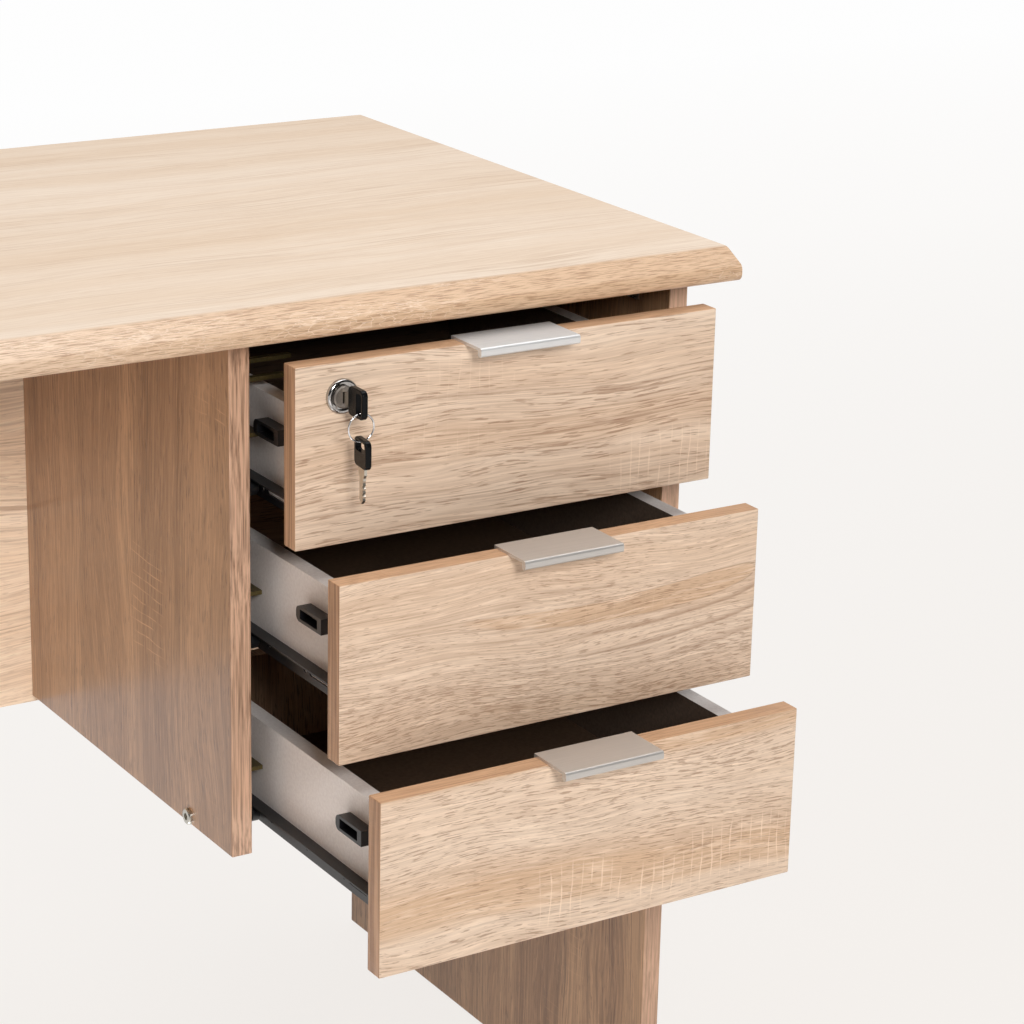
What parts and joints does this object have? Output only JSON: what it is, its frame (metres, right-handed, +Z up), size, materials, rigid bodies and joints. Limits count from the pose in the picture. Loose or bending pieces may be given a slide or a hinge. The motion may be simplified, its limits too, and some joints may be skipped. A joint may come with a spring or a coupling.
{
  "type": "pedestal desk",
  "caption": "Oak-finish panel-leg desk with a hung drawer pedestal: roller-runner drawers with lip handles and a key lock that secures them together.",
  "frame": {"origin": "on the floor, under the middle of the part with its drawers open as stored", "axes": "+X along the desk towards the pedestal, +Y from the sitter to the back, +Z up"},
  "size_m": [1.2, 0.7184, 0.75],
  "materials": {
    "oak_board": "melamine oak print, satin",
    "plain_wood": "bare chipboard strip",
    "white_board": "light grey foil",
    "dark_panel": "dark hardboard",
    "black_steel": "black powder coat",
    "black_plastic": "satin moulded",
    "satin_aluminium": "satin anodised",
    "bronze_aluminium": "dull bronze",
    "zinc_steel": "zinc plated",
    "chrome": "bright plated",
    "nickel_key": "nickel plated",
    "key_plastic": "glossy black"
  },
  "bodies": {
    "desk": {"desk_top": "oak_board", "left_leg_panel": "oak_board", "right_leg_panel": "oak_board", "pedestal_side_panel": "oak_board", "modesty_panel": "oak_board", "tie_rail": "oak_board", "panel_bolts": "zinc_steel", "top_brackets": "zinc_steel", "bracket_screws": "zinc_steel", "floor_glides": "black_plastic", "runner_packers": "plain_wood", "runner_screws": "zinc_steel", "lock_bar_guides": "black_plastic", "top_cabinet_runners": "black_steel", "middle_cabinet_runners": "black_steel", "bottom_cabinet_runners": "black_steel"},
    "lock_bar": {"lock_bar": "bronze_aluminium", "lock_bar_stops": "bronze_aluminium", "lock_bar_fork": "bronze_aluminium"},
    "top_drawer": {"top_drawer_front": "oak_board", "top_drawer_left_side": "white_board", "top_drawer_right_side": "white_board", "top_drawer_back": "oak_board", "top_drawer_bottom": "dark_panel", "top_drawer_handle": "satin_aluminium", "top_drawer_runners": "black_steel", "top_drawer_lock_catch": "black_plastic", "top_drawer_fasteners": "zinc_steel", "lock_housing": "chrome", "lock_nut": "chrome"},
    "middle_drawer": {"middle_drawer_front": "oak_board", "middle_drawer_left_side": "white_board", "middle_drawer_right_side": "white_board", "middle_drawer_back": "oak_board", "middle_drawer_bottom": "dark_panel", "middle_drawer_handle": "satin_aluminium", "middle_drawer_runners": "black_steel", "middle_drawer_lock_catch": "black_plastic", "middle_drawer_fasteners": "zinc_steel"},
    "bottom_drawer": {"bottom_drawer_front": "oak_board", "bottom_drawer_left_side": "white_board", "bottom_drawer_right_side": "white_board", "bottom_drawer_back": "oak_board", "bottom_drawer_bottom": "dark_panel", "bottom_drawer_handle": "satin_aluminium", "bottom_drawer_runners": "black_steel", "bottom_drawer_lock_catch": "black_plastic", "bottom_drawer_fasteners": "zinc_steel"},
    "top_cabinet_rollers": {"top_cabinet_rollers": "black_plastic"},
    "top_drawer_rollers": {"top_drawer_rollers": "black_plastic"},
    "middle_cabinet_rollers": {"middle_cabinet_rollers": "black_plastic"},
    "middle_drawer_rollers": {"middle_drawer_rollers": "black_plastic"},
    "bottom_cabinet_rollers": {"bottom_cabinet_rollers": "black_plastic"},
    "bottom_drawer_rollers": {"bottom_drawer_rollers": "black_plastic"},
    "key": {"lock_plug": "nickel_key", "key_blade": "nickel_key", "key_head": "key_plastic"},
    "key_ring": {"key_ring": "chrome"},
    "spare_key": {"spare_key_head": "key_plastic", "spare_key_blade": "nickel_key"}
  },
  "joints": [
    {"name": "top_drawer_slide", "type": "slide", "parent": "desk", "child": "top_drawer", "axis": [0, -1, 0], "range_m": [-0.061, 0.159]},
    {"name": "middle_drawer_slide", "type": "slide", "parent": "desk", "child": "middle_drawer", "axis": [0, -1, 0], "range_m": [-0.1226, 0.0974]},
    {"name": "bottom_drawer_slide", "type": "slide", "parent": "desk", "child": "bottom_drawer", "axis": [0, -1, 0], "range_m": [-0.1794, 0.0406]},
    {"name": "top_cabinet_rollers_turn", "type": "hinge", "parent": "desk", "child": "top_cabinet_rollers", "pos_m": [0.3975, -0.1323, 0.607], "axis": [1, 0, 0], "range_deg": [-539, 1403]},
    {"name": "top_drawer_rollers_turn", "type": "hinge", "parent": "top_drawer", "child": "top_drawer_rollers", "pos_m": [0.3975, 0.0912, 0.607], "axis": [1, 0, 0], "range_deg": [-539, 1403]},
    {"name": "middle_cabinet_rollers_turn", "type": "hinge", "parent": "desk", "child": "middle_cabinet_rollers", "pos_m": [0.3975, -0.1323, 0.4933], "axis": [1, 0, 0], "range_deg": [-1082, 860]},
    {"name": "middle_drawer_rollers_turn", "type": "hinge", "parent": "middle_drawer", "child": "middle_drawer_rollers", "pos_m": [0.3975, 0.0296, 0.4933], "axis": [1, 0, 0], "range_deg": [-1082, 860]},
    {"name": "bottom_cabinet_rollers_turn", "type": "hinge", "parent": "desk", "child": "bottom_cabinet_rollers", "pos_m": [0.3975, -0.1323, 0.3603], "axis": [1, 0, 0], "range_deg": [-1583, 359]},
    {"name": "bottom_drawer_rollers_turn", "type": "hinge", "parent": "bottom_drawer", "child": "bottom_drawer_rollers", "pos_m": [0.3975, -0.0272, 0.3603], "axis": [1, 0, 0], "range_deg": [-1583, 359]},
    {"name": "key_turn", "type": "hinge", "parent": "top_drawer", "child": "key", "pos_m": [0.2624, -0.2188, 0.6914], "axis": [0, 1, 0], "range_deg": [0, 90]},
    {"name": "lock_bar_slide", "type": "slide", "parent": "desk", "child": "lock_bar", "axis": [0, 0, 1], "range_m": [0, 0.0085]},
    {"name": "ring_swing", "type": "hinge", "parent": "key", "child": "key_ring", "pos_m": [0.2624, -0.2453, 0.6858], "axis": [1, 0, 0], "range_deg": [-40, 12]},
    {"name": "spare_key_swing", "type": "hinge", "parent": "key_ring", "child": "spare_key", "pos_m": [0.2624, -0.2453, 0.6666], "axis": [1, 0, 0], "range_deg": [-40, 12]}
  ],
  "couplings": [
    {"joint": "top_cabinet_rollers_turn", "follows": "top_drawer_slide", "rad_per_m": 153.85},
    {"joint": "top_drawer_rollers_turn", "follows": "top_drawer_slide", "rad_per_m": 153.85},
    {"joint": "middle_cabinet_rollers_turn", "follows": "middle_drawer_slide", "rad_per_m": 153.85},
    {"joint": "middle_drawer_rollers_turn", "follows": "middle_drawer_slide", "rad_per_m": 153.85},
    {"joint": "bottom_cabinet_rollers_turn", "follows": "bottom_drawer_slide", "rad_per_m": 153.85},
    {"joint": "bottom_drawer_rollers_turn", "follows": "bottom_drawer_slide", "rad_per_m": 153.85},
    {"joint": "lock_bar_slide", "follows": "key_turn", "m_per_rad": 0.0054112}
  ]
}
